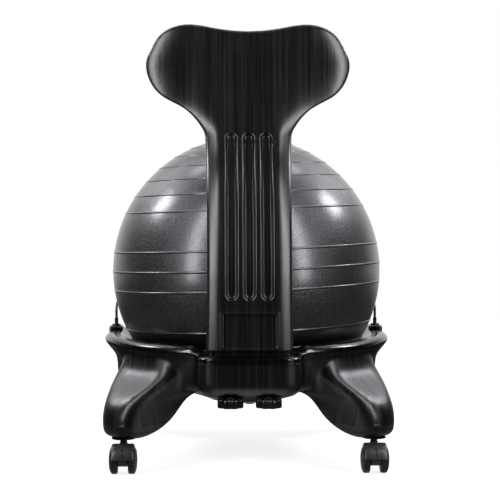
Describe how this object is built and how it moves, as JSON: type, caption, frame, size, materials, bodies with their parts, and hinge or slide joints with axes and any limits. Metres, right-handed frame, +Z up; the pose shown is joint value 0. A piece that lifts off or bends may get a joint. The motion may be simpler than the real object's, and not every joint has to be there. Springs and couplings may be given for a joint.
{
  "type": "balance ball chair",
  "caption": "Ribbed inflated ball in a moulded ring base on swivelling twin-wheel casters, with a bolted T-shaped backrest and a lift-off retaining rod.",
  "frame": {"origin": "on the floor under the middle of the ring", "axes": "+Z up, +Y the way the sitter faces, +X to the sitter's right; the backrest stands at -Y"},
  "size_m": [0.5519, 0.582, 0.8151],
  "materials": {
    "black_moulded": "satin blow-moulded polyethylene with a fine grain",
    "ball_vinyl": "satin charcoal vinyl with moulded ribs and a fine speckle",
    "plug_rubber": "dull vinyl",
    "rod_black": "black-coated steel rod, satin",
    "black_nylon": "injection-moulded, slightly glossy",
    "hood_nylon": "injection-moulded, satin",
    "wheel_nylon": "moulded tread, lightly worn",
    "plated_steel": "zinc-plated",
    "brass_insert": "turned"
  },
  "bodies": {
    "base": {"base_shell": "black_moulded", "backrest_shell": "black_moulded", "back_insert_left": "brass_insert", "back_insert_right": "brass_insert", "rod_grommet_left": "black_nylon", "rod_grommet_right": "black_nylon", "caster_socket_rear_left": "black_nylon", "caster_socket_rear_right": "black_nylon", "caster_socket_front_left": "black_nylon", "caster_socket_front_right": "black_nylon", "caster_stem_rear_left": "plated_steel", "caster_stem_rear_right": "plated_steel", "caster_stem_front_left": "plated_steel", "caster_stem_front_right": "plated_steel", "grip_ring_rear_left": "plated_steel", "grip_ring_rear_right": "plated_steel", "grip_ring_front_left": "plated_steel", "grip_ring_front_right": "plated_steel"},
    "ball": {"ball_skin": "ball_vinyl"},
    "plug": {"ball_plug": "plug_rubber"},
    "rod": {"retaining_rod": "rod_black"},
    "washer_left": {"knob_washer_left": "plated_steel"},
    "knob_left": {"knob_left": "black_nylon", "knob_bolt_left": "plated_steel"},
    "washer_right": {"knob_washer_right": "plated_steel"},
    "knob_right": {"knob_right": "black_nylon", "knob_bolt_right": "plated_steel"},
    "caster_rear_left": {"caster_hood_rear_left": "hood_nylon", "caster_axle_rear_left": "plated_steel"},
    "wheel_rear_left_left": {"wheel_rear_left_left": "wheel_nylon"},
    "wheel_rear_left_right": {"wheel_rear_left_right": "wheel_nylon"},
    "caster_rear_right": {"caster_hood_rear_right": "hood_nylon", "caster_axle_rear_right": "plated_steel"},
    "wheel_rear_right_left": {"wheel_rear_right_left": "wheel_nylon"},
    "wheel_rear_right_right": {"wheel_rear_right_right": "wheel_nylon"},
    "caster_front_left": {"caster_hood_front_left": "hood_nylon", "caster_axle_front_left": "plated_steel"},
    "wheel_front_left_left": {"wheel_front_left_left": "wheel_nylon"},
    "wheel_front_left_right": {"wheel_front_left_right": "wheel_nylon"},
    "caster_front_right": {"caster_hood_front_right": "hood_nylon", "caster_axle_front_right": "plated_steel"},
    "wheel_front_right_left": {"wheel_front_right_left": "wheel_nylon"},
    "wheel_front_right_right": {"wheel_front_right_right": "wheel_nylon"}
  },
  "joints": [
    {"name": "ball_turn", "type": "hinge", "parent": "base", "child": "ball", "pos_m": [0, 0, 0.352], "axis": [-0.0244, 0.0698, 0.9973], "continuous": true},
    {"name": "plug_pull", "type": "slide", "parent": "ball", "child": "plug", "axis": [0.0244, -0.0698, -0.9973], "range_m": [0, 0.02]},
    {"name": "rod_lift", "type": "slide", "parent": "base", "child": "rod", "axis": [0, 0, 1], "range_m": [0, 0.4]},
    {"name": "knob_drop_left", "type": "slide", "parent": "base", "child": "washer_left", "axis": [0, 0, -1], "range_m": [0, 0.02]},
    {"name": "knob_turn_left", "type": "hinge", "parent": "washer_left", "child": "knob_left", "pos_m": [-0.034, -0.281, 0.133], "axis": [0, 0, -1], "range_deg": [0, 5760]},
    {"name": "knob_drop_right", "type": "slide", "parent": "base", "child": "washer_right", "axis": [0, 0, -1], "range_m": [0, 0.02]},
    {"name": "knob_turn_right", "type": "hinge", "parent": "washer_right", "child": "knob_right", "pos_m": [0.034, -0.281, 0.133], "axis": [0, 0, -1], "range_deg": [0, 5760]},
    {"name": "swivel_rear_left", "type": "hinge", "parent": "base", "child": "caster_rear_left", "pos_m": [-0.22698, -0.22698, 0.042], "axis": [0, 0, 1], "continuous": true},
    {"name": "spin_rear_left_left", "type": "hinge", "parent": "caster_rear_left", "child": "wheel_rear_left_left", "pos_m": [-0.24423, -0.24498, 0.025], "axis": [1, 0, 0], "continuous": true},
    {"name": "spin_rear_left_right", "type": "hinge", "parent": "caster_rear_left", "child": "wheel_rear_left_right", "pos_m": [-0.20973, -0.24498, 0.025], "axis": [1, 0, 0], "continuous": true},
    {"name": "swivel_rear_right", "type": "hinge", "parent": "base", "child": "caster_rear_right", "pos_m": [0.22698, -0.22698, 0.042], "axis": [0, 0, 1], "continuous": true},
    {"name": "spin_rear_right_left", "type": "hinge", "parent": "caster_rear_right", "child": "wheel_rear_right_left", "pos_m": [0.20973, -0.24498, 0.025], "axis": [1, 0, 0], "continuous": true},
    {"name": "spin_rear_right_right", "type": "hinge", "parent": "caster_rear_right", "child": "wheel_rear_right_right", "pos_m": [0.24423, -0.24498, 0.025], "axis": [1, 0, 0], "continuous": true},
    {"name": "swivel_front_left", "type": "hinge", "parent": "base", "child": "caster_front_left", "pos_m": [-0.22698, 0.22698, 0.042], "axis": [0, 0, 1], "continuous": true},
    {"name": "spin_front_left_left", "type": "hinge", "parent": "caster_front_left", "child": "wheel_front_left_left", "pos_m": [-0.24423, 0.20898, 0.025], "axis": [1, 0, 0], "continuous": true},
    {"name": "spin_front_left_right", "type": "hinge", "parent": "caster_front_left", "child": "wheel_front_left_right", "pos_m": [-0.20973, 0.20898, 0.025], "axis": [1, 0, 0], "continuous": true},
    {"name": "swivel_front_right", "type": "hinge", "parent": "base", "child": "caster_front_right", "pos_m": [0.22698, 0.22698, 0.042], "axis": [0, 0, 1], "continuous": true},
    {"name": "spin_front_right_left", "type": "hinge", "parent": "caster_front_right", "child": "wheel_front_right_left", "pos_m": [0.20973, 0.20898, 0.025], "axis": [1, 0, 0], "continuous": true},
    {"name": "spin_front_right_right", "type": "hinge", "parent": "caster_front_right", "child": "wheel_front_right_right", "pos_m": [0.24423, 0.20898, 0.025], "axis": [1, 0, 0], "continuous": true}
  ],
  "couplings": [
    {"joint": "knob_drop_left", "follows": "knob_turn_left", "m_per_rad": 0.00019894},
    {"joint": "knob_drop_right", "follows": "knob_turn_right", "m_per_rad": 0.00019894}
  ]
}
